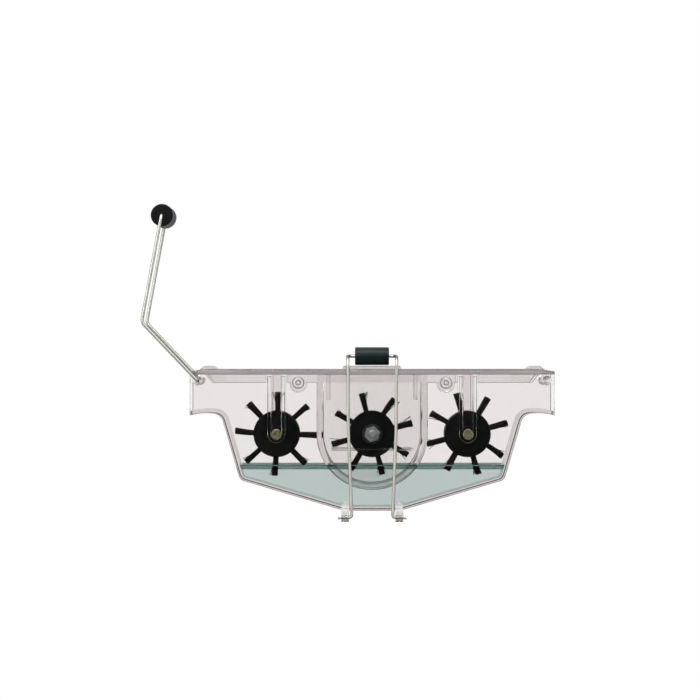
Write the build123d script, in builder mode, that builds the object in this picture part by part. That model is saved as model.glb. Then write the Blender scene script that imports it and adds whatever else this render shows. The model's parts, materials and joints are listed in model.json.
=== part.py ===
from build123d import *
import os
from math import cos, radians, sin, sqrt

# Bicycle chain cleaner. Millimetres, X along the chain, Z up, front towards -Y.
# The origin is where the chain's centre line crosses the middle of the tool.
# The three brush axles lie on one level below the chain.
axle_z = -15.0
axle_spacing = 48.0

# Rounding of the clear parts' moulded edges, and the reach of cuts that go right through
edge_radius = 0.6
rib_edge_radius = 0.4
cut_length = 40.0
tolerance = 0.01

# Tank: a clear trough with an open spout at each end
wall = 2.0
tank_half_width = 17.0
inner_half_width = tank_half_width - wall
tank_end_x = 91.3
tank_top_z = axle_z + 30.0
lip_crown_x = 83.0
lip_crown_z = axle_z + 10.6
lip_radius = 30.0
shoulder_x = 75.6
shoulder_radius = 5.5
knee_x = 66.1
knee_z = axle_z - 22.8
knee_radius = 4.0
bottom_x = 13.9
bottom_z = axle_z - 38.2
bottom_radius = 3.0

# Bearing seats for the two lower axles: U-shaped ribs on the long walls
seat_depth = 3.0
seat_inner_y = inner_half_width - seat_depth
seat_outer_radius = 4.4
seat_top_z = axle_z + 29.0

# Arm sockets at the top corners
socket_x = 87.3
socket_z = axle_z + 26.9
boss_radius = 3.5
boss_height = 1.5
boss_face_y = tank_half_width + boss_height
socket_mouth_radius = 2.4

# Wires
wire_radius = 0.8
wire_bore_radius = 0.88

# Bail lugs under the front edge of the tank
bail_pivot_y = -18.6
bail_pivot_z = axle_z - 41.5
lug_radius = 2.6
lug_inner_x = 11.6
lug_width = 3.8
lug_root_depth = 1.6
lug_root_height = 4.0
lug_root_lift = 0.5

# Lid
lid_half_width = 16.7
lid_thickness = 2.7
lid_end_rise = 1.5
lid_shoulder_rise = 2.3
lid_edge_radius = 1.2
pad_half_length = 14.7
pad_front_y = -4.0
pad_back_y = 5.0
pad_height = 1.5
pad_edge_radius = 0.6
bump_inner_x = 77.6
bump_outer_x = 86.6
bump_flat_inner_x = 79.6
bump_flat_outer_x = 84.2
bump_height = 1.6
bump_corner_radius = 1.2
bump_half_width = 10.0
skirt_outer_y = 14.7
skirt_thickness = 1.4
skirt_inner_y = skirt_outer_y - skirt_thickness
skirt_low_z = axle_z + 25.8
skirt_top_x = 83.5
skirt_low_x = 80.0
seat_gap_half_length = 5.2
tab_x = 37.1
tab_radius = 4.2
tab_z = axle_z + 25.1
ring_outer_radius = 2.6
ring_inner_radius = 1.3
ring_depth = 0.7
ring_slope = 0.4
skirt_edge_radius = 0.4
left_pad_inner_x = 75.0
right_pad_inner_x = 70.8
corner_pad_inner_y = 11.6
finger_half_length = 2.3
finger_inner_y = seat_inner_y + 0.3
finger_end_radius = 2.8

# Cheeks: two U-shaped tongues of the lid that carry the centre brush
cheek_radius = 27.8
cheek_rim_radius = 24.5
cheek_inner_y = 9.2
cheek_thickness = 1.4
cheek_outer_y = cheek_inner_y + cheek_thickness
rim_outer_y = 14.7
rim_edge_radius = 1.0
gusset_x = 22.0
gusset_thickness = 1.8
gusset_low_z = axle_z + 17.3
bead_z = axle_z - 7.7
bead_half_length = 20.5
bead_radius = 0.5

# Centre bolt, M4
bolt_radius = 2.0
bolt_bore_radius = 2.05
hex_flat_radius = 3.5
washer_radius = 5.1
washer_thickness = 0.8
nut_height = 3.0
head_height = 2.8
bolt_tip_y = -14.7
bolt_tip_chamfer = 0.4
hexagon_turn = 15
sleeve_radius = 2.5

# Brushes: hub, three rows of eight tufts, and a flat wire anchor in each tuft hole
hub_radius = 11.65
hub_half_width = 8.9
hub_edge_radius = 0.6
hub_running_radius = 2.58
axle_radius = 2.5
axle_half_length = 14.5
axle_chamfer = 0.3
axle_recess_radius = 1.5
axle_recess_depth = 1.5
hub_nose_radius = 4.0
hub_nose_y = 11.7
tuft_count = 8
row_pitch = 6.0
tuft_hole_bottom = 5.6
tuft_root_radius = 1.3
tuft_end_radius = 1.65
brush_radius = 21.0
anchor_thickness = 0.4
anchor_width = 2.3
anchor_height = 1.6
left_phase = -2.0
center_phase = 14.8
right_phase = 14.9

# Bail: one bent wire over the lid, its legs bowed outwards, with a roller on its crossbar
bail_foot_x = 10.2
bail_hook_x = 17.2
bail_bow_x = 11.9
bail_bow_z = axle_z + 2.0
bail_top_x = 12.2
bail_shoulder_z = axle_z + 38.2
bail_bar_z = axle_z + 39.1
bail_bends = (1.5, 400.0, 4.0, 2.0, 2.0, 4.0, 400.0, 1.5)
bail_roller_radius = 4.55
bail_roller_half_length = 8.6
bail_roller_edge = 0.7

# Arm: one bent wire plugged into the left sockets, with a roller at its end
arm_leg_y = 19.6
arm_pin_y = 14.2
arm_bend = (-115.1, axle_z + 56.1)
arm_end = (-105.2, axle_z + 109.7)
arm_bends = (1.0, 4.0, 2.0, 2.0, 4.0, 1.0)
arm_roller_radius = 5.6
arm_roller_half_length = 16.8
arm_roller_edge = 0.8

BASE = (Align.CENTER, Align.CENTER, Align.MIN)
ALONG_Y = (-90, 0, 0)
ALONG_X = (0, 90, 0)

os.makedirs("parts", exist_ok=True)


def finish(piece, label):
    """Name a finished piece and write it to its own file."""
    piece.part.label = label
    export_step(piece.part, f"parts/{label}.step")


def lip_height(x):
    """Height of the spout lip's arched underside at a distance x from the middle."""
    return lip_crown_z - lip_radius + sqrt(lip_radius**2 - (x - lip_crown_x) ** 2)


def trough_side(end_x, top_z, inset=0.0):
    """Side view of the tank: arched lips, sloped ends, sloped floor, flat bottom."""
    with BuildSketch(Plane.XZ) as side:
        with BuildLine():
            lip = ThreePointArc(
                (-end_x, lip_height(end_x)),
                (-lip_crown_x, lip_crown_z),
                (-shoulder_x, lip_height(shoulder_x)),
            )
            Polyline(
                lip @ 1,
                (-knee_x, knee_z),
                (-bottom_x, bottom_z),
                (0, bottom_z),
                (0, top_z),
                (-end_x, top_z),
                lip @ 0,
            )
        make_face()
        for corner, radius in (
            ((-shoulder_x, lip_height(shoulder_x)), shoulder_radius),
            ((-knee_x, knee_z), knee_radius),
            ((-bottom_x, bottom_z), bottom_radius),
        ):
            fillet(side.vertices().sort_by_distance((*corner, 0))[0], radius)
        mirror(about=Plane.YZ)
        if inset:
            offset(amount=-inset)
    return side.sketch


def u_side(radius, low_z, top_z, centers):
    """Side view of a U with straight sides: a round bottom at low_z, open at top_z."""
    height = top_z - low_z
    with BuildSketch(Plane.XZ) as side:
        with Locations(*[(x, low_z) for x in centers]):
            Circle(radius)
        with Locations(*[(x, low_z + height / 2) for x in centers]):
            Rectangle(2 * radius, height)
    return side.sketch


def both_sides(sketch, inner_y, depth, mode=Mode.ADD):
    """Extrude a side view between inner_y and inner_y + depth, front and back."""
    for offset_y in (-inner_y, inner_y + depth):
        extrude(sketch.moved(Location((0, offset_y, 0))), amount=depth, mode=mode)


def edges_at_depth(piece, depth):
    """The edges that lie in the two planes at y = depth and y = -depth."""
    return piece.edges().filter_by(lambda e: abs(abs(e.center().Y) - depth) < tolerance)


def below_top(edge):
    """Whether an edge lies below the plane where the tank and the lid meet."""
    return edge.center().Z < tank_top_z - tolerance


# ---- Tank -------------------------------------------------------------------
sockets = [
    Plane(origin=(x, side * boss_face_y, socket_z), x_dir=(1, 0, 0), z_dir=(0, side, 0))
    for x in (-socket_x, socket_x)
    for side in (-1, 1)
]
seat_centers = (-axle_spacing, axle_spacing)

with BuildPart() as tank:
    extrude(trough_side(tank_end_x, tank_top_z), amount=tank_half_width, both=True)
    fillet(edges_at_depth(tank, tank_half_width).filter_by(below_top), edge_radius)
    cavity = trough_side(tank_end_x + wall, tank_top_z + wall, inset=wall)
    extrude(cavity, amount=inner_half_width, both=True, mode=Mode.SUBTRACT)
    # U-shaped ribs whose grooves hold the lower axles
    rib = u_side(seat_outer_radius, axle_z, seat_top_z, seat_centers)
    both_sides(rib, seat_inner_y, seat_depth)
    groove = u_side(hub_running_radius, axle_z, tank_top_z, seat_centers)
    both_sides(groove, seat_inner_y, seat_depth, mode=Mode.SUBTRACT)
    fillet(edges_at_depth(tank, seat_inner_y), rib_edge_radius)
    # Bosses and countersunk holes for the arm, the same at both ends
    with BuildSketch(*sockets):
        Circle(boss_radius)
    extrude(amount=-boss_height)
    with Locations(*sockets):
        CounterSinkHole(wire_bore_radius, socket_mouth_radius, depth=wall + boss_height)
    # Lugs for the bail, under the front edge
    with BuildSketch(*[Plane.YZ.offset(x) for x in (-lug_inner_x - lug_width, lug_inner_x)]):
        with Locations((bail_pivot_y, bail_pivot_z)):
            Circle(lug_radius)
        with Locations((-tank_half_width, bottom_z + lug_root_lift)):
            Rectangle(lug_root_depth, lug_root_height, align=(Align.MIN, Align.MIN))
        make_hull()
    extrude(amount=lug_width)
    with Locations((0, bail_pivot_y, bail_pivot_z)):
        Cylinder(wire_bore_radius, cut_length, rotation=ALONG_X, mode=Mode.SUBTRACT)
finish(tank, "tank")

# ---- Lid --------------------------------------------------------------------
lid_top_z = tank_top_z + lid_thickness
lid_end_z = tank_top_z + lid_end_rise


def lid_plate_side():
    """Side view of the lid plate, thinner towards its two ends."""
    with BuildSketch(Plane.XZ) as side:
        with BuildLine():
            Polyline(
                (0, tank_top_z),
                (-tank_end_x, tank_top_z),
                (-tank_end_x, lid_end_z),
                (-bump_outer_x, tank_top_z + lid_shoulder_rise),
                (-bump_inner_x, lid_top_z),
                (0, lid_top_z),
                close=True,
            )
        make_face()
        mirror(about=Plane.YZ)
    return side.sketch


def bump_side():
    """Side view of the raised finger bars near the lid's ends."""
    with BuildSketch(Plane.XZ) as side:
        with BuildLine():
            FilletPolyline(
                (bump_inner_x, tank_top_z + lid_end_rise),
                (bump_inner_x, lid_top_z),
                (bump_flat_inner_x, lid_top_z + bump_height),
                (bump_flat_outer_x, lid_top_z + bump_height),
                (bump_outer_x, tank_top_z + lid_shoulder_rise),
                (bump_outer_x, tank_top_z + lid_end_rise),
                radius=(0, bump_corner_radius, bump_corner_radius, 0),
            )
            Line((bump_outer_x, tank_top_z + lid_end_rise), (bump_inner_x, tank_top_z + lid_end_rise))
        make_face()
        mirror(about=Plane.YZ)
    return side.sketch


def skirt_side():
    """Side view of the skirt that drops inside the tank, with its round tabs."""
    with BuildSketch(Plane.XZ) as side:
        with BuildLine():
            Polyline(
                (-skirt_top_x, tank_top_z),
                (-skirt_low_x, skirt_low_z),
                (skirt_low_x, skirt_low_z),
                (skirt_top_x, tank_top_z),
                close=True,
            )
        make_face()
        with Locations((-tab_x, tab_z), (tab_x, tab_z)):
            Circle(tab_radius)
        with Locations(*[(x, skirt_low_z) for x in seat_centers]):
            Rectangle(2 * seat_gap_half_length, 30, mode=Mode.SUBTRACT)
    return side.sketch


def corner_pad_side():
    """Side view of the thick pads at the skirt's ends, above the spouts."""
    with BuildSketch(Plane.XZ) as side:
        for end, inner_x in ((-1, left_pad_inner_x), (1, right_pad_inner_x)):
            with BuildLine():
                Polyline(
                    (end * inner_x, tank_top_z),
                    (end * inner_x, skirt_low_z),
                    (end * skirt_low_x, skirt_low_z),
                    (end * skirt_top_x, tank_top_z),
                    close=True,
                )
            make_face()
    return side.sketch


def finger_side():
    """Side view of the fingers that close the bearing grooves, hollowed over the axles."""
    with BuildSketch(Plane.XZ) as side:
        with Locations(*[(x, (axle_z + tank_top_z) / 2) for x in seat_centers]):
            Rectangle(2 * finger_half_length, tank_top_z - axle_z)
        with Locations(*[(x, axle_z) for x in seat_centers]):
            Circle(finger_end_radius, mode=Mode.SUBTRACT)
    return side.sketch


with BuildPart() as lid:
    # Cheeks: thin plates with a raised, rounded rim and a round bead across them
    cheek = u_side(cheek_radius, axle_z, tank_top_z, (0,))
    both_sides(cheek, cheek_inner_y, rim_outer_y - cheek_inner_y)
    pocket = u_side(cheek_rim_radius, axle_z, tank_top_z, (0,))
    both_sides(pocket, cheek_outer_y, rim_outer_y - cheek_outer_y, mode=Mode.SUBTRACT)
    fillet(edges_at_depth(lid, rim_outer_y).filter_by(below_top), rim_edge_radius)
    with Locations((0, -cheek_outer_y, bead_z), (0, cheek_outer_y, bead_z)):
        Cylinder(bead_radius, 2 * bead_half_length, rotation=ALONG_X)
    # Gussets inside the cheeks' rims
    with BuildSketch(Plane.XZ) as ribs:
        with Locations(*[(x, (gusset_low_z + tank_top_z) / 2) for x in (-gusset_x, gusset_x)]):
            Rectangle(gusset_thickness, tank_top_z - gusset_low_z)
    both_sides(ribs.sketch, cheek_outer_y, skirt_inner_y - cheek_outer_y)
    fillet(edges_at_depth(lid, skirt_inner_y).filter_by(below_top), edge_radius)
    # Skirt, end pads and fingers
    both_sides(skirt_side(), skirt_inner_y, skirt_thickness)
    pads = corner_pad_side()
    both_sides(pads, corner_pad_inner_y, skirt_outer_y - corner_pad_inner_y)
    both_sides(finger_side(), finger_inner_y, skirt_outer_y - finger_inner_y)
    outline = edges_at_depth(lid, skirt_outer_y).filter_by(below_top)
    fillet(outline.filter_by(lambda e: abs(e.center().X) > cheek_radius + tolerance), skirt_edge_radius)
    # Ring moulded into each round tab
    with BuildSketch(Plane.XZ) as rings:
        with Locations((-tab_x, skirt_low_z), (tab_x, skirt_low_z)):
            Circle(ring_outer_radius)
            Circle(ring_inner_radius, mode=Mode.SUBTRACT)
    both_sides(rings.sketch, skirt_inner_y, ring_depth, mode=Mode.SUBTRACT)
    ring_edges = edges_at_depth(lid, skirt_inner_y).filter_by(GeomType.CIRCLE)
    chamfer(ring_edges.filter_by(lambda e: e.radius < ring_outer_radius + tolerance), ring_slope)
    # Plate with rounded long edges, finger bars at its ends and a pad under the roller
    extrude(lid_plate_side(), amount=lid_half_width, both=True)
    plate_edges = edges_at_depth(lid, lid_half_width)
    fillet(plate_edges.filter_by(lambda e: e.center().Z > lid_end_z - tolerance), lid_edge_radius)
    extrude(bump_side(), amount=bump_half_width, both=True)
    with Locations((0, (pad_front_y + pad_back_y) / 2, lid_top_z)):
        Box(2 * pad_half_length, pad_back_y - pad_front_y, pad_height, align=BASE)
    pad_top = lid.faces().filter_by(Axis.Z).filter_by(
        lambda f: abs(f.center().Z - lid_top_z - pad_height) < tolerance
    )
    fillet(pad_top.edges(), pad_edge_radius)
    with Locations((0, 0, axle_z)):
        Cylinder(bolt_bore_radius, cut_length, rotation=ALONG_Y, mode=Mode.SUBTRACT)
finish(lid, "lid")

# ---- Centre bolt, nut, washers and sleeve -----------------------------------
washer_outer_y = cheek_outer_y + washer_thickness


def hexagon(y, height):
    """A hexagon across the bolt's axis, starting at y and going rearwards."""
    with BuildSketch(Plane.XZ.offset(-y)) as outline:
        with Locations((0, axle_z)):
            RegularPolygon(hex_flat_radius, 6, major_radius=False, rotation=hexagon_turn)
    extrude(outline.sketch, amount=-height)


with BuildPart() as center_bolt:
    with BuildSketch(Plane.XZ.offset(-washer_outer_y)):
        with Locations((0, axle_z)):
            Circle(bolt_radius)
    extrude(amount=washer_outer_y - bolt_tip_y)
    tip_edge = center_bolt.edges().filter_by(GeomType.CIRCLE).sort_by(Axis.Y)[0]
    chamfer(tip_edge, bolt_tip_chamfer)
    hexagon(washer_outer_y, head_height)
finish(center_bolt, "center_bolt")

with BuildPart() as center_nut:
    hexagon(-washer_outer_y - nut_height, nut_height)
    with Locations((0, -washer_outer_y, axle_z)):
        Cylinder(bolt_radius, 3 * nut_height, rotation=ALONG_Y, mode=Mode.SUBTRACT)
finish(center_nut, "center_nut")

with BuildPart() as center_washers:
    with BuildSketch(Plane.XZ) as washer:
        with Locations((0, axle_z)):
            Circle(washer_radius)
            Circle(bolt_radius, mode=Mode.SUBTRACT)
    both_sides(washer.sketch, cheek_outer_y, washer_thickness)
finish(center_washers, "center_washers")

with BuildPart() as center_sleeve:
    with BuildSketch(Plane.XZ):
        with Locations((0, axle_z)):
            Circle(sleeve_radius)
            Circle(bolt_bore_radius, mode=Mode.SUBTRACT)
    extrude(amount=cheek_inner_y, both=True)
finish(center_sleeve, "center_sleeve")


# ---- Brushes ----------------------------------------------------------------
def tuft_planes(x, phase, radius, rows):
    """One plane for each tuft, facing outwards at a distance from the axle."""
    planes = []
    for y in rows:
        for index in range(tuft_count):
            angle = radians(phase + index * 360 / tuft_count)
            out = Vector(cos(angle), 0, sin(angle))
            origin = Vector(x, y, axle_z) + out * radius
            planes.append(Plane(origin=origin, x_dir=(0, 1, 0), z_dir=out))
    return planes


def make_hub(name, x, phase, bore_radius, nose_y):
    """Moulded hub drilled with a hole for each tuft."""
    with BuildPart() as hub:
        with Locations((x, 0, axle_z)):
            Cylinder(hub_radius, 2 * hub_half_width, rotation=ALONG_Y)
            fillet(hub.edges().filter_by(GeomType.CIRCLE), hub_edge_radius)
            if nose_y > hub_half_width:
                Cylinder(hub_nose_radius, 2 * nose_y, rotation=ALONG_Y)
            Cylinder(bore_radius, 2 * nose_y, rotation=ALONG_Y, mode=Mode.SUBTRACT)
        with Locations(*tuft_planes(x, phase, tuft_hole_bottom, (-row_pitch, 0, row_pitch))):
            Cylinder(tuft_root_radius, hub_radius, align=BASE, mode=Mode.SUBTRACT)
    finish(hub, name)


def make_tufts(name, x, phase, y):
    """One row of tufts: tight in their holes, spreading towards the tips."""
    with BuildPart() as tufts:
        with Locations(*tuft_planes(x, phase, tuft_hole_bottom, (y,))):
            Cylinder(tuft_root_radius, hub_radius - tuft_hole_bottom, align=BASE)
        with Locations(*tuft_planes(x, phase, hub_radius, (y,))):
            Cone(tuft_root_radius, tuft_end_radius, brush_radius - hub_radius, align=BASE)
        with Locations(*tuft_planes(x, phase, tuft_hole_bottom, (y,))):
            Box(anchor_width, anchor_thickness, anchor_height, align=BASE, mode=Mode.SUBTRACT)
    finish(tufts, name)


def make_anchors(name, x, phase):
    """The flat wire anchors at the bottoms of the tuft holes."""
    with BuildPart() as anchors:
        with Locations(*tuft_planes(x, phase, tuft_hole_bottom, (-row_pitch, 0, row_pitch))):
            Box(anchor_width, anchor_thickness, anchor_height, align=BASE)
    finish(anchors, name)


for side, x, phase in (
    ("left", -axle_spacing, left_phase),
    ("center", 0, center_phase),
    ("right", axle_spacing, right_phase),
):
    if side == "center":
        make_hub("center_hub", x, phase, hub_running_radius, hub_half_width)
    else:
        make_hub(f"{side}_hub", x, phase, axle_radius, hub_nose_y)
        with BuildPart() as axle:
            with Locations((x, 0, axle_z)):
                Cylinder(axle_radius, 2 * axle_half_length, rotation=ALONG_Y)
            chamfer(axle.edges().filter_by(GeomType.CIRCLE), axle_chamfer)
            with Locations((x, -axle_half_length, axle_z), (x, axle_half_length, axle_z)):
                Cylinder(axle_recess_radius, 2 * axle_recess_depth, rotation=ALONG_Y, mode=Mode.SUBTRACT)
        finish(axle, f"{side}_axle")
    for row, y in (("front", -row_pitch), ("middle", 0), ("back", row_pitch)):
        make_tufts(f"{side}_tufts_{row}", x, phase, y)
    make_anchors(f"{side}_anchors", x, phase)


# ---- Bail -------------------------------------------------------------------
with BuildPart() as bail_wire:
    with BuildLine() as bail_path:
        FilletPolyline(
            (bail_hook_x, bail_pivot_y, bail_pivot_z),
            (bail_foot_x, bail_pivot_y, bail_pivot_z),
            (bail_bow_x, bail_pivot_y, bail_bow_z),
            (bail_top_x, bail_pivot_y, bail_shoulder_z),
            (bail_top_x, 0, bail_bar_z),
            (-bail_top_x, 0, bail_bar_z),
            (-bail_top_x, bail_pivot_y, bail_shoulder_z),
            (-bail_bow_x, bail_pivot_y, bail_bow_z),
            (-bail_foot_x, bail_pivot_y, bail_pivot_z),
            (-bail_hook_x, bail_pivot_y, bail_pivot_z),
            radius=bail_bends,
        )
    with BuildSketch(bail_path.line ^ 0):
        Circle(wire_radius)
    sweep()
finish(bail_wire, "bail_wire")

with BuildPart() as bail_roller:
    with Locations((0, 0, bail_bar_z)):
        Cylinder(bail_roller_radius, 2 * bail_roller_half_length, rotation=ALONG_X)
        fillet(bail_roller.edges().filter_by(GeomType.CIRCLE), bail_roller_edge)
        Cylinder(wire_bore_radius, cut_length, rotation=ALONG_X, mode=Mode.SUBTRACT)
finish(bail_roller, "bail_roller")

# ---- Arm --------------------------------------------------------------------
with BuildPart() as arm_wire:
    with BuildLine() as arm_path:
        FilletPolyline(
            (-socket_x, -arm_pin_y, socket_z),
            (-socket_x, -arm_leg_y, socket_z),
            (arm_bend[0], -arm_leg_y, arm_bend[1]),
            (arm_end[0], -arm_leg_y, arm_end[1]),
            (arm_end[0], arm_leg_y, arm_end[1]),
            (arm_bend[0], arm_leg_y, arm_bend[1]),
            (-socket_x, arm_leg_y, socket_z),
            (-socket_x, arm_pin_y, socket_z),
            radius=arm_bends,
        )
    with BuildSketch(arm_path.line ^ 0):
        Circle(wire_radius)
    sweep()
finish(arm_wire, "arm_wire")

with BuildPart() as arm_roller:
    with Locations((arm_end[0], 0, arm_end[1])):
        Cylinder(arm_roller_radius, 2 * arm_roller_half_length, rotation=ALONG_Y)
        fillet(arm_roller.edges().filter_by(GeomType.CIRCLE), arm_roller_edge)
        Cylinder(wire_bore_radius, cut_length, rotation=ALONG_Y, mode=Mode.SUBTRACT)
finish(arm_roller, "arm_roller")
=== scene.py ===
import json
import math
import random

import bmesh
import bpy
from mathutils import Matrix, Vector
from mathutils.bvhtree import BVHTree


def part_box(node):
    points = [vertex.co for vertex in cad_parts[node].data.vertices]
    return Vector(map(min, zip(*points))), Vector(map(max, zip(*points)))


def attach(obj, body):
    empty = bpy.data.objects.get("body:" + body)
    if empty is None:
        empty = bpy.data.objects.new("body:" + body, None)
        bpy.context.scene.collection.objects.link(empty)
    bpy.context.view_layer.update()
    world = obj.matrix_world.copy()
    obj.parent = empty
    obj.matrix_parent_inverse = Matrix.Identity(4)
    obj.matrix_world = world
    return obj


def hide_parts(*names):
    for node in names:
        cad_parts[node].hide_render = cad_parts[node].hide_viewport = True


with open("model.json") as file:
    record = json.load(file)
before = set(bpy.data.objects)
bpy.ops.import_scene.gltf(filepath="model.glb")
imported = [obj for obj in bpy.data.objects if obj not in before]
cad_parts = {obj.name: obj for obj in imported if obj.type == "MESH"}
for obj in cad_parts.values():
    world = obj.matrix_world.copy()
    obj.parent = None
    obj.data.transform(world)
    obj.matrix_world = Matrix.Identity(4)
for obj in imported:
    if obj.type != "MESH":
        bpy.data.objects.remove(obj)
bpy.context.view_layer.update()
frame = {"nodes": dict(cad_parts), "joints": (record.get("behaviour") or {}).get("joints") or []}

# Lengths are in metres, in the CAD's frame: X along the chain, Z up, front at -Y.
MM = 0.001
JOINT = {j["name"]: j for j in frame["joints"]}
NODE = frame["nodes"]
SIDES = ("left", "center", "right")
ROWS = ("front", "middle", "back")

# The camera looks along +Y from the front, a little above the chain
CAMERA_PLACE = Vector((-11.1, -1611.0, 27.2)) * MM
CAMERA_LENS = 164.0
CAMERA_SENSOR = 36.0

# A ramp is (from, to, value at from, value at to), and holds its end values beyond both

# Studio: the plain ramps are seen through clear parts, the reflected ones by all other light
FLOOR_GAP = 30 * MM
FLOOR_HALF_SIZE = 40.0
# Painted shadow: the floor's plain glow is darker near the tool
FLOOR_PLAIN_BY_REACH = (0.38, 1.35, 0.6, 1.0)
FLOOR_REFLECTED_BY_Y = (-0.45, 0.45, 0.02, 0.8)
WORLD_PLAIN_BY_X = (0.35, 0.9, 1.0, 0.45)
WORLD_PLAIN_BY_Z = (0.2, 0.8, 1.0, 0.35)
WORLD_REFLECTED_BY_X = (0.5, 0.95, 1.0, 0.45)
WORLD_REFLECTED_BY_Y = (-0.985, -0.93, 0.02, 0.85)

# Painted shade: clear plastic's color is darkened where much of it lies in line, standing in for
# light lost to reflections: in the lid's plate, along the seam under that plate and in the bail's
# lugs
PLATE_SHADE = 0.74
SEAM_SHADE = 0.64
LUG_SHADE = 0.62
LUG_HEIGHT = 5.6 * MM
SEAM_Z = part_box("tank")[1].z
LUG_TOP_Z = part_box("tank")[0].z + LUG_HEIGHT
PLATE_BY_Z = (SEAM_Z, SEAM_Z + 0.4 * MM, 0.0, 1.0)
PLATE_BY_X = (60 * MM, 80 * MM, 1.0, 0.3)
SEAM_BY_DISTANCE = (0.2 * MM, 0.8 * MM, SEAM_SHADE, 1.0)
LUG_BY_Z = (LUG_TOP_Z - 1.0 * MM, LUG_TOP_Z, LUG_SHADE, 1.0)
LEVEL_BY_TILT = (0.3, 0.7, 0.0, 1.0)
SHADOW_SHARE = 0.96

# Colors. The dyes are what clear parts absorb towards
SMOKE = (0.46, 0.385, 0.38)
GREEN_DYE = (0.22, 0.50, 0.46)
STEEL = (0.8, 0.8, 0.8)
# Painted light on the wire: a painted highlight on its crown, painted shade at its sides
STEEL_PAINTED_HIGHLIGHT = (0.80, 0.79, 0.74)
STEEL_PAINTED_SHADE = (0.14, 0.14, 0.13)
NYLON_MEAN = (0.003, 0.003, 0.003)
NYLON_DARK = (0.002, 0.002, 0.002)
NYLON_LIGHT = (0.01, 0.01, 0.009)

# Most of a noise's values lie between these two
NOISE_SPAN = (0.3, 0.7)

# How much smoother and rougher than its mean a surface gets
MOULDED_SMOOTHER = 0.08
MOULDED_ROUGHER = 0.1
METAL_SMOOTHER = 0.03
METAL_ROUGHER = 0.05

# Cleaning fluid: a body and a thin layer at its surface, darkened as painted shade for the dark
# line along the fluid's surface
FLUID_DEPTH_BELOW_AXLE = 16.0 * MM
FLUID_LAYER = 1.5 * MM
FLUID_OVERLAP = 0.04 * MM
FLUID_LEAST_HEIGHT = 0.001 * MM
FLUID_STEPS = 160
FLUID_END_SHARE = 0.999
MENISCUS_RISE = 0.8 * MM
MENISCUS_WIDTH = 1.6 * MM
MENISCUS_STEPS = 6
MENISCUS_POWER = 2.2

# Bristles. A tuft's radii are shares of its CAD cone's, and its bend is a share of its length.
# A frayed filament leans far out, and FRAYED_SHARES says how many of a tuft's do
TUFTS_PER_ROW = 8
SEEDS_PER_SIDE = 10
TUFT_ROOT_DEPTH = 1.5 * MM
TUFT_ROOT_SHARE = 0.8
TUFT_TIP_SHARE = 0.95
TUFT_TIP_DEPTH = 0.1 * MM
TUFT_BENDS = (0.0, 0.0, 0.02, -0.02, -0.08)
TUFT_BEND_SPREAD = 0.015
FRAYED_SHARES = (0.0, 0.0, 0.02, 0.04, 0.08)
FILAMENTS_PER_TUFT = 52
FILAMENT_RADIUS = 0.16 * MM
FILAMENT_SIDES = 5
FILAMENT_STEPS = 6
FILAMENT_TURN_SPREAD = 0.2
FILAMENT_LENGTHS = (0.965, 1.0)
FILAMENT_LEAN = 0.05
FRAYED_LEAN = 1.9
GOLDEN_ANGLE = math.radians(137.5)


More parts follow.
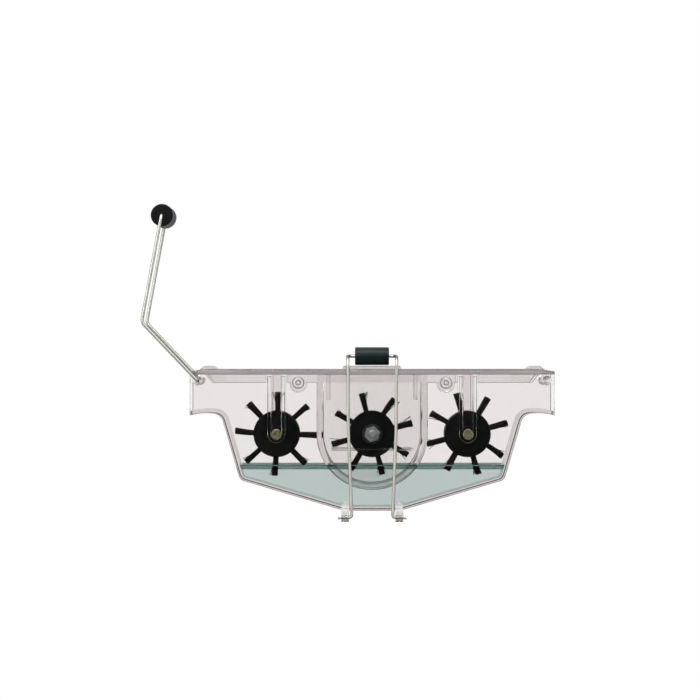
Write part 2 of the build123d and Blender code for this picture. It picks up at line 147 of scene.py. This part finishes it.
# ---- Node trees -------------------------------------------------------------
class Nodes:
    """A node tree, with short calls to add and join its nodes."""

    def __init__(self, owner, output_kind):
        owner.use_nodes = True
        self.owner = owner
        self.tree = owner.node_tree
        self.tree.nodes.clear()
        self.output = self.tree.nodes.new(output_kind)

    def add(self, kind, **values):
        node = self.tree.nodes.new(kind)
        for key, value in values.items():
            if hasattr(node, key):
                setattr(node, key, value)
            else:
                node.inputs[key.replace("_", " ")].default_value = value
        return node

    def link(self, source, target):
        self.tree.links.new(source, target)

    def place(self):
        """Object coordinates, in metres."""
        return self.add("ShaderNodeTexCoord").outputs["Object"]

    def math(self, operation, first, second=None):
        node = self.add("ShaderNodeMath", operation=operation)
        for socket, value in zip(node.inputs, (first, second)):
            if isinstance(value, float):
                socket.default_value = value
            elif value is not None:
                self.link(value, socket)
        return node.outputs["Value"]

    def noise(self, scale, detail=3.0, roughness=0.5):
        node = self.add("ShaderNodeTexNoise", Scale=scale, Detail=detail, Roughness=roughness)
        self.link(self.place(), node.inputs["Vector"])
        return node.outputs["Fac"]

    def ramp(self, source, low, high, low_value, high_value):
        """Map source from low..high to low_value..high_value, clamped."""
        node = self.add(
            "ShaderNodeMapRange",
            From_Min=low,
            From_Max=high,
            To_Min=low_value,
            To_Max=high_value,
        )
        self.link(source, node.inputs["Value"])
        return node.outputs["Result"]

    def mix_value(self, factor, first, second):
        """first where factor is 0 and second where it is 1. Each is a number or a socket."""
        kept = self.math("MULTIPLY", self.math("SUBTRACT", 1.0, factor), first)
        return self.math("ADD", kept, self.math("MULTIPLY", factor, second))

    def mix_color(self, factor, first, second):
        """first where factor is 0 and second where it is 1. Each is a color or a socket."""
        node = self.add("ShaderNodeMix", data_type="RGBA")
        self.link(factor, node.inputs["Factor"])
        colors = [socket for socket in node.inputs if socket.type == "RGBA"]
        for socket, value in zip(colors, (first, second)):
            if isinstance(value, tuple):
                socket.default_value = (*value, 1)
            else:
                self.link(value, socket)
        return next(socket for socket in node.outputs if socket.type == "RGBA")

    def bump(self, height, strength, distance):
        node = self.add("ShaderNodeBump", Strength=strength, Distance=distance)
        self.link(height, node.inputs["Height"])
        return node.outputs["Normal"]

    def principled(self, color, roughness, metallic=0.0, **values):
        return self.add(
            "ShaderNodeBsdfPrincipled",
            Base_Color=(*color, 1),
            Roughness=roughness,
            Metallic=metallic,
            **values,
        )

    def vary_color(self, shader, source, low, high, first, second):
        """Base color from first to second while source goes from low to high."""
        share = self.ramp(source, low, high, 0.0, 1.0)
        self.link(self.mix_color(share, first, second), shader.inputs["Base Color"])

    def vary_roughness(self, shader, noise, low, high):
        """Roughness from low to high over a noise's span."""
        self.link(self.ramp(noise, *NOISE_SPAN, low, high), shader.inputs["Roughness"])

    def facing(self):
        """0 where a face looks at the viewer and 1 where it is seen edge on."""
        return self.add("ShaderNodeLayerWeight", Blend=0.5).outputs["Facing"]

    def studio_light(self, plain, reflected):
        """White for the camera, plain behind clear parts, reflected for all other light."""
        path = self.add("ShaderNodeLightPath")
        bounces = self.math("ADD", path.outputs["Diffuse Depth"], path.outputs["Glossy Depth"])
        straight = self.math("LESS_THAN", bounces, 0.5)
        seen = self.mix_value(straight, reflected, plain)
        return self.mix_value(path.outputs["Is Camera Ray"], seen, 1.0)


def material_nodes(name):
    return Nodes(bpy.data.materials.new(name), "ShaderNodeOutputMaterial")


# ---- Materials --------------------------------------------------------------
def painted_clear_shade(n):
    """Painted shade: 1, less on upright faces of the lid's plate, its seam and the bail's lugs."""
    geometry = n.add("ShaderNodeNewGeometry")
    tilt = n.add("ShaderNodeSeparateXYZ")
    n.link(geometry.outputs["Normal"], tilt.inputs["Vector"])
    level = n.ramp(n.math("ABSOLUTE", tilt.outputs["Z"]), *LEVEL_BY_TILT)
    place = n.add("ShaderNodeSeparateXYZ")
    n.link(n.place(), place.inputs["Vector"])
    height = place.outputs["Z"]
    from_middle = n.math("ABSOLUTE", place.outputs["X"])
    in_plate = n.math("MULTIPLY", n.ramp(height, *PLATE_BY_Z), n.ramp(from_middle, *PLATE_BY_X))
    plate = n.mix_value(in_plate, 1.0, PLATE_SHADE)
    from_seam = n.math("ABSOLUTE", n.math("SUBTRACT", height, SEAM_Z))
    seam = n.ramp(from_seam, *SEAM_BY_DISTANCE)
    lugs = n.ramp(height, *LUG_BY_Z)
    return n.mix_value(level, n.math("MULTIPLY", n.math("MULTIPLY", plate, seam), lugs), 1.0)


def clear_material(name, tint, edge_painted_shade, ior, absorb_color, absorb_density, bump_strength):
    """A clear solid that bends light, lets lamps through and darkens with depth, with painted shade
    at grazing angles and in thick parts.
    """
    n = material_nodes(name)
    glass = n.principled(tint, 0.0, IOR=ior, Transmission_Weight=1.0)
    # Painted shade: the color darkens towards the edge color where a face is seen edge on
    edge = n.ramp(n.facing(), low=0.1, high=0.75, low_value=0.0, high_value=1.0)
    color = n.mix_color(edge, tint, edge_painted_shade)
    # Painted shade of the plate, seam and lugs darkens the color
    n.link(n.mix_color(painted_clear_shade(n), (0.0, 0.0, 0.0), color), glass.inputs["Base Color"])
    if bump_strength:
        waves = n.noise(scale=60.0, detail=2.0)
        n.link(n.bump(waves, bump_strength, distance=0.05 * MM), glass.inputs["Normal"])
    shadow_tint = (*[SHADOW_SHARE * c for c in tint], 1)
    through = n.add("ShaderNodeBsdfTransparent", Color=shadow_tint)
    path = n.add("ShaderNodeLightPath")
    mix = n.add("ShaderNodeMixShader")
    n.link(path.outputs["Is Shadow Ray"], mix.inputs["Fac"])
    n.link(glass.outputs["BSDF"], mix.inputs[1])
    n.link(through.outputs["BSDF"], mix.inputs[2])
    absorb = n.add(
        "ShaderNodeVolumeAbsorption",
        Density=absorb_density,
        Color=(*absorb_color, 1),
    )
    n.link(absorb.outputs["Volume"], n.output.inputs["Volume"])
    n.link(mix.outputs["Shader"], n.output.inputs["Surface"])
    return n.owner


def moulded_material(name, dark, light, roughness, specular, grain_scale, grain_depth):
    """Moulded plastic or rubber: fine grain, soft sheen, slight unevenness."""
    n = material_nodes(name)
    shader = n.principled(dark, roughness, Specular_IOR_Level=specular)
    patches = n.noise(scale=160.0, detail=4.0)
    n.vary_color(shader, patches, low=0.35, high=0.7, first=dark, second=light)
    n.vary_roughness(shader, patches, roughness - MOULDED_SMOOTHER, roughness + MOULDED_ROUGHER)
    grain = n.noise(grain_scale, detail=2.0)
    n.link(n.bump(grain, strength=0.5, distance=grain_depth), shader.inputs["Normal"])
    n.link(shader.outputs["BSDF"], n.output.inputs["Surface"])
    return n.owner


def metal_material(name, color, dull_color, patch_scale, roughness, scratch_scale, scratch_depth):
    """Plated metal with fine scratches and dull patches."""
    n = material_nodes(name)
    shader = n.principled(color, roughness, metallic=1.0)
    lines = n.noise(scratch_scale, detail=5.0, roughness=0.7)
    patches = n.noise(patch_scale, detail=4.0)
    n.vary_color(shader, patches, low=0.4, high=0.65, first=color, second=dull_color)
    n.vary_roughness(shader, lines, roughness - METAL_SMOOTHER, roughness + METAL_ROUGHER)
    n.link(n.bump(lines, strength=0.25, distance=scratch_depth), shader.inputs["Normal"])
    n.link(shader.outputs["BSDF"], n.output.inputs["Surface"])
    return n.owner


def wire_material():
    """Drawn steel wire with painted light: a painted highlight on the crown that faces the viewer,
    painted shade towards its sides.
    """
    n = material_nodes("drawn_wire")
    shader = n.principled(STEEL, roughness=0.5, metallic=1.0)
    # Painted highlight where the wire faces the viewer, painted shade towards its sides
    n.vary_color(shader, n.facing(), low=0.15, high=0.6, first=STEEL_PAINTED_HIGHLIGHT, second=STEEL_PAINTED_SHADE)
    grain = n.noise(scale=900.0, detail=4.0)
    n.vary_roughness(shader, grain, low=0.42, high=0.56)
    n.link(shader.outputs["BSDF"], n.output.inputs["Surface"])
    return n.owner


def bristle_material():
    """Black nylon filament with a slight sheen."""
    n = material_nodes("black_nylon")
    shader = n.principled(NYLON_MEAN, roughness=0.42, Specular_IOR_Level=0.2)
    tone = n.noise(scale=900.0, detail=2.0)
    n.vary_color(shader, tone, low=0.4, high=0.7, first=NYLON_DARK, second=NYLON_LIGHT)
    n.vary_roughness(shader, tone, low=0.34, high=0.55)
    n.link(shader.outputs["BSDF"], n.output.inputs["Surface"])
    return n.owner


# The edge colors of the clear parts are painted shade at grazing angles
CLEAR_TANK = clear_material(
    "clear_tank",
    tint=(0.988, 0.973, 0.971),
    edge_painted_shade=(0.40, 0.34, 0.34),
    ior=1.5,
    absorb_color=SMOKE,
    absorb_density=20.0,
    bump_strength=0.05,
)
CLEAR_LID = clear_material(
    "clear_lid",
    tint=(0.998, 0.990, 0.989),
    edge_painted_shade=(0.18, 0.14, 0.14),
    ior=1.46,
    absorb_color=SMOKE,
    absorb_density=32.0,
    bump_strength=0.05,
)
FLUID = clear_material(
    "cleaning_fluid",
    tint=(1.0, 1.0, 1.0),
    edge_painted_shade=(0.80, 0.88, 0.86),
    ior=1.34,
    absorb_color=GREEN_DYE,
    absorb_density=20.0,
    bump_strength=0.0,
)
# Painted shade: the fluid's surface layer is tinted and absorbs darker than its body
FLUID_SURFACE_SHADE = clear_material(
    "fluid_surface",
    tint=(0.46, 0.57, 0.54),
    edge_painted_shade=(0.24, 0.32, 0.30),
    ior=1.34,
    absorb_color=GREEN_DYE,
    absorb_density=40.0,
    bump_strength=0.0,
)
STEEL_WIRE = wire_material()
ZINC = metal_material(
    "bright_zinc",
    color=(0.70, 0.74, 0.75),
    dull_color=(0.36, 0.39, 0.40),
    patch_scale=520.0,
    roughness=0.34,
    scratch_scale=900.0,
    scratch_depth=0.012 * MM,
)
DARK_WASHER = metal_material(
    "dark_plate",
    color=(0.12, 0.125, 0.13),
    dull_color=(0.05, 0.05, 0.055),
    patch_scale=220.0,
    roughness=0.28,
    scratch_scale=900.0,
    scratch_depth=0.012 * MM,
)
BRASS = metal_material(
    "brass",
    color=(0.72, 0.58, 0.30),
    dull_color=(0.50, 0.40, 0.20),
    patch_scale=220.0,
    roughness=0.32,
    scratch_scale=700.0,
    scratch_depth=0.012 * MM,
)
YELLOW_ZINC = metal_material(
    "yellow_zinc",
    color=(0.86, 0.85, 0.54),
    dull_color=(0.40, 0.40, 0.22),
    patch_scale=420.0,
    roughness=0.28,
    scratch_scale=600.0,
    scratch_depth=0.015 * MM,
)
BLACK_PLASTIC = moulded_material(
    "black_moulding",
    dark=(0.001, 0.002, 0.002),
    light=(0.004, 0.005, 0.005),
    roughness=0.45,
    specular=0.10,
    grain_scale=1800.0,
    grain_depth=0.03 * MM,
)
GREEN_PLASTIC = moulded_material(
    "green_moulding",
    dark=(0.004, 0.012, 0.011),
    light=(0.009, 0.020, 0.018),
    roughness=0.38,
    specular=0.25,
    grain_scale=1500.0,
    grain_depth=0.03 * MM,
)
BLACK_RUBBER = moulded_material(
    "black_rubber",
    dark=(0.002, 0.002, 0.003),
    light=(0.008, 0.008, 0.009),
    roughness=0.55,
    specular=0.20,
    grain_scale=1200.0,
    grain_depth=0.05 * MM,
)
NYLON = bristle_material()


def paint(node, material):
    """Give a CAD node its material."""
    mesh = NODE[node].data
    mesh.materials.clear()
    mesh.materials.append(material)


# ---- Mesh helpers -----------------------------------------------------------
def new_piece(name, bm, material, body, smooth=True):
    """Finish a bmesh as a piece that rides on a body."""
    bmesh.ops.recalc_face_normals(bm, faces=bm.faces)
    mesh = bpy.data.meshes.new(name)
    bm.to_mesh(mesh)
    bm.free()
    for face in mesh.polygons:
        face.use_smooth = smooth
    piece = bpy.data.objects.new(name, mesh)
    bpy.context.scene.collection.objects.link(piece)
    mesh.materials.append(material)
    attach(piece, body)
    return piece


def add_tube(bm, points, radius, sides):
    """A closed tube through points."""
    rings = []
    for index, point in enumerate(points):
        ahead = points[min(index + 1, len(points) - 1)]
        behind = points[max(index - 1, 0)]
        along = (ahead - behind).normalized()
        across = along.cross(Vector((0.3, 0.9, 0.2))).normalized()
        other = along.cross(across)
        ring = []
        for side in range(sides):
            angle = 2 * math.pi * side / sides
            offset = across * math.cos(angle) + other * math.sin(angle)
            ring.append(bm.verts.new(point + offset * radius))
        rings.append(ring)
    for low, high in zip(rings, rings[1:]):
        for side in range(sides):
            after = (side + 1) % sides
            bm.faces.new((low[side], low[after], high[after], high[side]))
    bm.faces.new(list(reversed(rings[0])))
    bm.faces.new(rings[-1])


# ---- Brushes ----------------------------------------------------------------
def tuft_layout(node, center):
    """A row's first angle and the tufts' reach, from its CAD cones' farthest points."""
    polar = []
    for vertex in NODE[node].data.vertices:
        x, z = vertex.co.x - center.x, vertex.co.z - center.z
        polar.append((math.hypot(x, z), math.atan2(z, x)))
    reach = max(polar)[0]
    tips = [angle * TUFTS_PER_ROW for length, angle in polar if length > reach - TUFT_TIP_DEPTH]
    first = math.atan2(sum(map(math.sin, tips)), sum(map(math.cos, tips))) / TUFTS_PER_ROW
    return first, reach


def add_tuft(bm, rng, root, out, length, cone_radius, bend, fray):
    """A bundle of filaments from root along out, spreading towards the tip."""
    root_radius = TUFT_ROOT_SHARE * cone_radius
    tip_radius = TUFT_TIP_SHARE * cone_radius
    across = Vector((0, 1, 0))
    other = out.cross(across)
    for index in range(FILAMENTS_PER_TUFT):
        share = math.sqrt((index + 0.5) / FILAMENTS_PER_TUFT)
        turn = index * GOLDEN_ANGLE + rng.uniform(-FILAMENT_TURN_SPREAD, FILAMENT_TURN_SPREAD)
        place = across * math.cos(turn) * share + other * math.sin(turn) * share
        lean = (across * rng.gauss(0, 1) + other * rng.gauss(0, 1)) * FILAMENT_LEAN * tip_radius
        lean += other * bend * length
        if rng.random() < fray:
            away = across * rng.uniform(-1, 1) + other * rng.uniform(-1, 1)
            lean += away * FRAYED_LEAN * tip_radius
        reach = length * rng.uniform(*FILAMENT_LENGTHS)
        points = []
        for step in range(FILAMENT_STEPS):
            t = step / (FILAMENT_STEPS - 1)
            spread = root_radius + (tip_radius - root_radius) * t
            sideways = place * (spread - FILAMENT_RADIUS)
            points.append(root + out * reach * t + sideways + lean * t * t)
        add_tube(bm, points, FILAMENT_RADIUS, FILAMENT_SIDES)


def make_bristles(side, row, seed, bends):
    """One row of tufts as real filaments, in place of its CAD cones."""
    node = f"{side}_tufts_{row}"
    center = Vector(JOINT[f"{side}_brush_spin"]["pos_m"])
    low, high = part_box(node)
    y = (low.y + high.y) / 2
    cone_radius = (high.y - low.y) / 2
    hub_low, hub_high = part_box(f"{side}_hub")
    start = (hub_high.z - hub_low.z) / 2 - TUFT_ROOT_DEPTH
    first, reach = tuft_layout(node, center)
    rng = random.Random(seed)
    bm = bmesh.new()
    for index, bend in enumerate(bends):
        angle = first + 2 * math.pi * index / TUFTS_PER_ROW
        out = Vector((math.cos(angle), 0, math.sin(angle)))
        root = Vector((center.x, y, center.z)) + out * start
        bend += rng.uniform(-TUFT_BEND_SPREAD, TUFT_BEND_SPREAD)
        fray = rng.choice(FRAYED_SHARES)
        add_tuft(bm, rng, root, out, reach - start, cone_radius, bend, fray)
    piece = new_piece(f"{side}_bristles_{row}", bm, NYLON, f"{side}_brush")
    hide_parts(node)


def make_brushes():
    """All nine rows. The three tufts at one angle of a brush bend the same way."""
    for side_index, side in enumerate(SIDES):
        rng = random.Random(side_index)
        bends = [rng.choice(TUFT_BENDS) for _ in range(TUFTS_PER_ROW)]
        for row_index, row in enumerate(ROWS):
            seed = SEEDS_PER_SIDE * side_index + row_index
            make_bristles(side, row, seed, bends)


# ---- Cleaning fluid ---------------------------------------------------------
def tank_surface():
    """The tank's CAD surface, for measuring its hollow."""
    mesh = NODE["tank"].data
    return BVHTree.FromPolygons(
        [v.co.copy() for v in mesh.vertices], [tuple(p.vertices) for p in mesh.polygons]
    )


def distance_inside(surface, start, direction):
    """How far the hollow reaches from start in a direction."""
    return surface.ray_cast(Vector(start), Vector(direction))[3] or 0.0


def make_fluid_slice(name, surface, low_z, top_z, rise, material):
    """The tank's hollow between low_z and top_z, curving up by rise at the walls."""
    half_width = distance_inside(surface, (0, 0, top_z), (0, -1, 0)) + FLUID_OVERLAP
    end_x = distance_inside(surface, (0, 0, top_z), (-1, 0, 0)) + FLUID_OVERLAP
    curve = [(1 - k / MENISCUS_STEPS) ** MENISCUS_POWER for k in range(MENISCUS_STEPS + 1)]
    inset = [MENISCUS_WIDTH * k / MENISCUS_STEPS for k in range(MENISCUS_STEPS + 1)]
    ys = [i - half_width for i in inset] + [half_width - i for i in reversed(inset)]
    heights = [top_z + rise * c for c in curve + curve[::-1]]
    bm = bmesh.new()
    columns = []
    for index in range(FLUID_STEPS + 1):
        x = end_x * math.sin(math.pi * (index / FLUID_STEPS - 0.5))
        above = (x * FLUID_END_SHARE, 0, top_z)
        depth = distance_inside(surface, above, (0, 0, -1)) + FLUID_OVERLAP
        floor = min(top_z, max(low_z, top_z - depth))
        edge = min(1.0, (end_x - abs(x)) / MENISCUS_WIDTH)
        end_height = top_z + rise * (1 - edge) ** MENISCUS_POWER
        least = floor + FLUID_LEAST_HEIGHT
        column = [(x, ys[0], floor)]
        column += [(x, y, max(z, end_height, least)) for y, z in zip(ys, heights)]
        column.append((x, ys[-1], floor))
        columns.append([bm.verts.new(point) for point in column])
    for near, far in zip(columns, columns[1:]):
        for k in range(len(near)):
            after = (k + 1) % len(near)
            bm.faces.new((near[k], near[after], far[after], far[k]))
    bm.faces.new(columns[0])
    bm.faces.new(columns[-1])
    new_piece(name, bm, material, "tank", smooth=False)


def make_fluid():
    surface = tank_surface()
    level = JOINT["center_brush_spin"]["pos_m"][2] - FLUID_DEPTH_BELOW_AXLE
    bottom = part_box("tank")[0].z
    make_fluid_slice("fluid_body", surface, bottom, level - FLUID_LAYER + FLUID_OVERLAP, 0.0, FLUID)
    make_fluid_slice("fluid_surface", surface, level - FLUID_LAYER, level, MENISCUS_RISE, FLUID_SURFACE_SHADE)


# ---- Studio -----------------------------------------------------------------
def make_camera():
    data = bpy.data.cameras.new("camera")
    data.lens = CAMERA_LENS
    data.sensor_width = CAMERA_SENSOR
    data.clip_start = 0.05
    data.clip_end = 100.0
    camera = bpy.data.objects.new("camera", data)
    camera.location = CAMERA_PLACE
    camera.rotation_euler = (math.radians(90), 0, 0)
    bpy.context.scene.collection.objects.link(camera)
    bpy.context.scene.camera = camera


def make_floor():
    """A plain white floor below the bail's swing, its glow a little darker right under the tool as
    a painted shadow.
    """
    bm = bmesh.new()
    bmesh.ops.create_grid(bm, x_segments=4, y_segments=4, size=FLOOR_HALF_SIZE)
    mesh = bpy.data.meshes.new("floor")
    bm.to_mesh(mesh)
    bm.free()
    floor = bpy.data.objects.new("floor", mesh)
    bail_low, bail_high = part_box("bail_wire")
    floor.location = (0, 0, 2 * bail_low.z - bail_high.z - FLOOR_GAP)
    bpy.context.scene.collection.objects.link(floor)
    n = material_nodes("floor")
    reach = n.add("ShaderNodeVectorMath", operation="LENGTH")
    n.link(n.place(), reach.inputs[0])
    # Painted shadow: the floor's glow is darker near the tool
    plain = n.ramp(reach.outputs["Value"], *FLOOR_PLAIN_BY_REACH)
    split = n.add("ShaderNodeSeparateXYZ")
    n.link(n.place(), split.inputs["Vector"])
    reflected = n.ramp(split.outputs["Y"], *FLOOR_REFLECTED_BY_Y)
    glow = n.add("ShaderNodeEmission")
    n.link(n.studio_light(plain, reflected), glow.inputs["Strength"])
    n.link(glow.outputs["Emission"], n.output.inputs["Surface"])
    mesh.materials.append(n.owner)


def make_world():
    """A white backdrop to look at, and a studio with dark gaps for the parts to reflect."""
    world = bpy.data.worlds.new("studio")
    bpy.context.scene.world = world
    n = Nodes(world, "ShaderNodeOutputWorld")
    split = n.add("ShaderNodeSeparateXYZ")
    n.link(n.add("ShaderNodeTexCoord").outputs["Generated"], split.inputs["Vector"])
    x, z = (n.math("ABSOLUTE", split.outputs[axis]) for axis in "XZ")
    plain = n.math("MULTIPLY", n.ramp(x, *WORLD_PLAIN_BY_X), n.ramp(z, *WORLD_PLAIN_BY_Z))
    front = n.ramp(split.outputs["Y"], *WORLD_REFLECTED_BY_Y)
    reflected = n.math("MULTIPLY", front, n.ramp(x, *WORLD_REFLECTED_BY_X))
    background = n.add("ShaderNodeBackground", Color=(1, 1, 1, 1))
    n.link(n.studio_light(plain, reflected), background.inputs["Strength"])
    n.link(background.outputs["Background"], n.output.inputs["Surface"])


def add_light(name, place, size, power):
    """A soft box that looks at the origin."""
    data = bpy.data.lights.new(name, "AREA")
    data.shape = "RECTANGLE"
    data.size = size[0]
    data.size_y = size[1]
    data.energy = power
    light = bpy.data.objects.new(name, data)
    light.location = place
    light.rotation_euler = (-Vector(place)).to_track_quat("-Z", "Y").to_euler()
    bpy.context.scene.collection.objects.link(light)


def make_lights():
    add_light("top_softbox", place=(-0.3, -0.4, 0.9), size=(0.8, 0.5), power=7.0)
    add_light("left_softbox", place=(-0.9, -0.7, 0.35), size=(0.3, 0.8), power=4.0)
    add_light("right_softbox", place=(0.9, -0.8, 0.3), size=(0.25, 0.8), power=2.5)


def make_view():
    """Plain display of colors, so that the white studio stays white."""
    scene = bpy.context.scene
    scene.view_settings.view_transform = "Standard"
    scene.cycles.max_bounces = 32
    scene.cycles.transmission_bounces = 32
    scene.cycles.transparent_max_bounces = 32
    scene.cycles.glossy_bounces = 6


# ---- The object -------------------------------------------------------------
def paint_nodes():
    paint("tank", CLEAR_TANK)
    paint("lid", CLEAR_LID)
    for node in ("bail_wire", "arm_wire"):
        paint(node, STEEL_WIRE)
    for node in ("center_bolt", "center_nut"):
        paint(node, ZINC)
    paint("center_washers", DARK_WASHER)
    paint("center_sleeve", BRASS)
    paint("bail_roller", GREEN_PLASTIC)
    paint("arm_roller", BLACK_RUBBER)
    for side in SIDES:
        paint(f"{side}_hub", BLACK_PLASTIC)
        paint(f"{side}_anchors", STEEL_WIRE)
    for side in ("left", "right"):
        paint(f"{side}_axle", YELLOW_ZINC)


make_camera()
make_floor()
make_world()
make_lights()
make_view()
paint_nodes()
make_brushes()
make_fluid()
